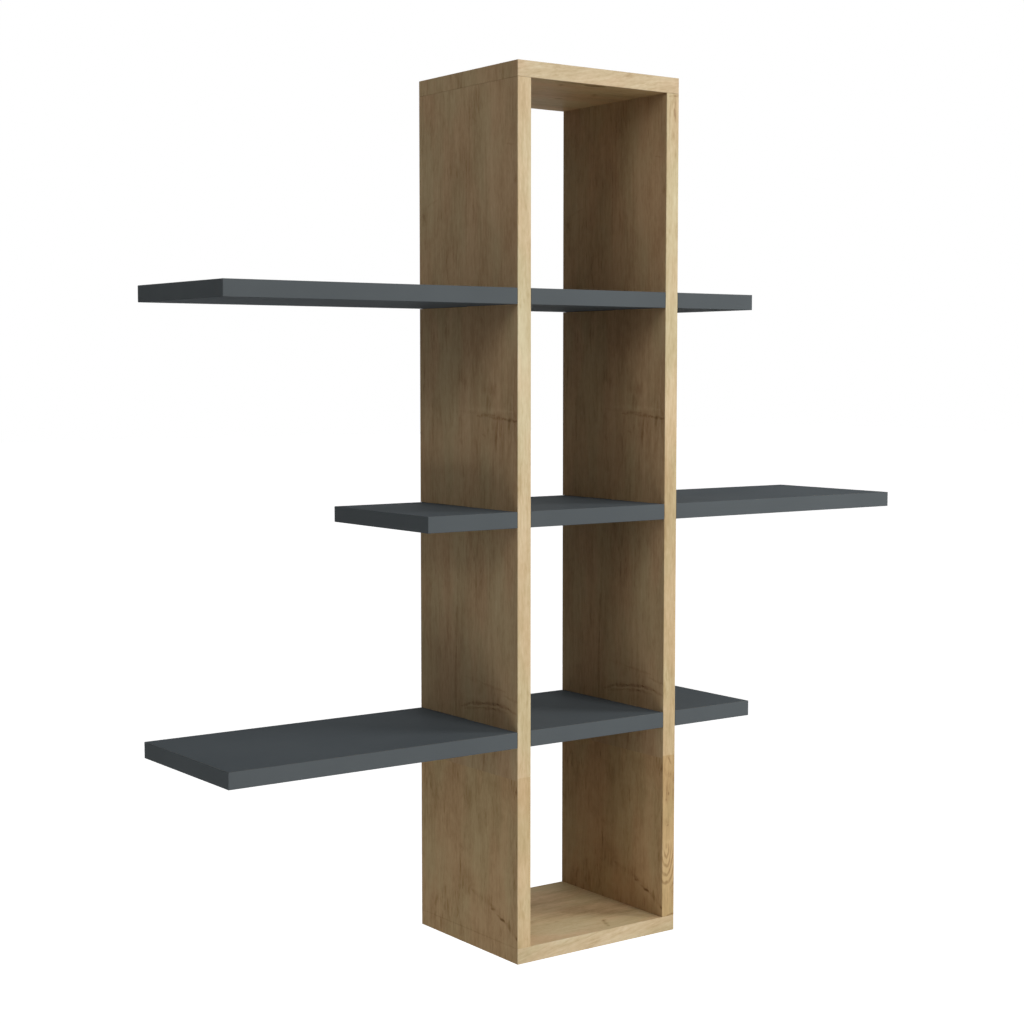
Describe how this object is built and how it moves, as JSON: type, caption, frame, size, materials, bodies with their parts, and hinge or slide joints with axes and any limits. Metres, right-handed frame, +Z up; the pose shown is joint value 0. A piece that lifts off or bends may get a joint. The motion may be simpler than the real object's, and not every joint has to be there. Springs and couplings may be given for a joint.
{
  "type": "wall bookcase",
  "caption": "Narrow open wall bookcase: a tall oak-faced tower crossed by level anthracite shelves that stand out of it on both sides, long and short in turn.",
  "frame": {"origin": "centre of the middle shelf's back edge, in the plane of the wall, which is also the middle of the bookcase's width and height", "axes": "+X to the right as seen from the front, +Y towards the wall, +Z up"},
  "size_m": [0.946, 0.195, 1.0026],
  "materials": {
    "oak_melamine": "satin",
    "oak_edge_band": "satin",
    "anthracite_melamine": "matte",
    "anthracite_edge_band": "matte",
    "zinc_plated_steel": "satin",
    "beech": "matte",
    "oak_plastic": "satin"
  },
  "bodies": {
    "root": {"left_side_panel": "oak_melamine", "right_side_panel": "oak_melamine", "top_panel": "oak_melamine", "bottom_panel": "oak_melamine", "upper_shelf": "anthracite_melamine", "middle_shelf": "anthracite_melamine", "lower_shelf": "anthracite_melamine", "left_side_panel_front_band": "oak_edge_band", "right_side_panel_front_band": "oak_edge_band", "top_panel_front_band": "oak_edge_band", "top_panel_left_end_band": "oak_edge_band", "top_panel_right_end_band": "oak_edge_band", "bottom_panel_front_band": "oak_edge_band", "bottom_panel_left_end_band": "oak_edge_band", "bottom_panel_right_end_band": "oak_edge_band", "upper_shelf_long_front_band": "anthracite_edge_band", "upper_shelf_middle_front_band": "anthracite_edge_band", "upper_shelf_short_front_band": "anthracite_edge_band", "upper_shelf_long_end_band": "anthracite_edge_band", "upper_shelf_short_end_band": "anthracite_edge_band", "middle_shelf_long_front_band": "anthracite_edge_band", "middle_shelf_middle_front_band": "anthracite_edge_band", "middle_shelf_short_front_band": "anthracite_edge_band", "middle_shelf_long_end_band": "anthracite_edge_band", "middle_shelf_short_end_band": "anthracite_edge_band", "lower_shelf_long_front_band": "anthracite_edge_band", "lower_shelf_middle_front_band": "anthracite_edge_band", "lower_shelf_short_front_band": "anthracite_edge_band", "lower_shelf_long_end_band": "anthracite_edge_band", "lower_shelf_short_end_band": "anthracite_edge_band", "top_left_front_screw": "zinc_plated_steel", "top_left_back_screw": "zinc_plated_steel", "top_right_front_screw": "zinc_plated_steel", "top_right_back_screw": "zinc_plated_steel", "bottom_left_front_screw": "zinc_plated_steel", "bottom_left_back_screw": "zinc_plated_steel", "bottom_right_front_screw": "zinc_plated_steel", "bottom_right_back_screw": "zinc_plated_steel", "top_left_front_cap": "oak_plastic", "top_left_back_cap": "oak_plastic", "top_right_front_cap": "oak_plastic", "top_right_back_cap": "oak_plastic", "bottom_left_front_cap": "oak_plastic", "bottom_left_back_cap": "oak_plastic", "bottom_right_front_cap": "oak_plastic", "bottom_right_back_cap": "oak_plastic", "top_left_dowel": "beech", "top_right_dowel": "beech", "bottom_left_dowel": "beech", "bottom_right_dowel": "beech", "left_hanger_plate": "zinc_plated_steel", "left_hanger_upper_screw": "zinc_plated_steel", "left_hanger_lower_screw": "zinc_plated_steel", "right_hanger_plate": "zinc_plated_steel", "right_hanger_upper_screw": "zinc_plated_steel", "right_hanger_lower_screw": "zinc_plated_steel"}
  },
  "joints": []
}
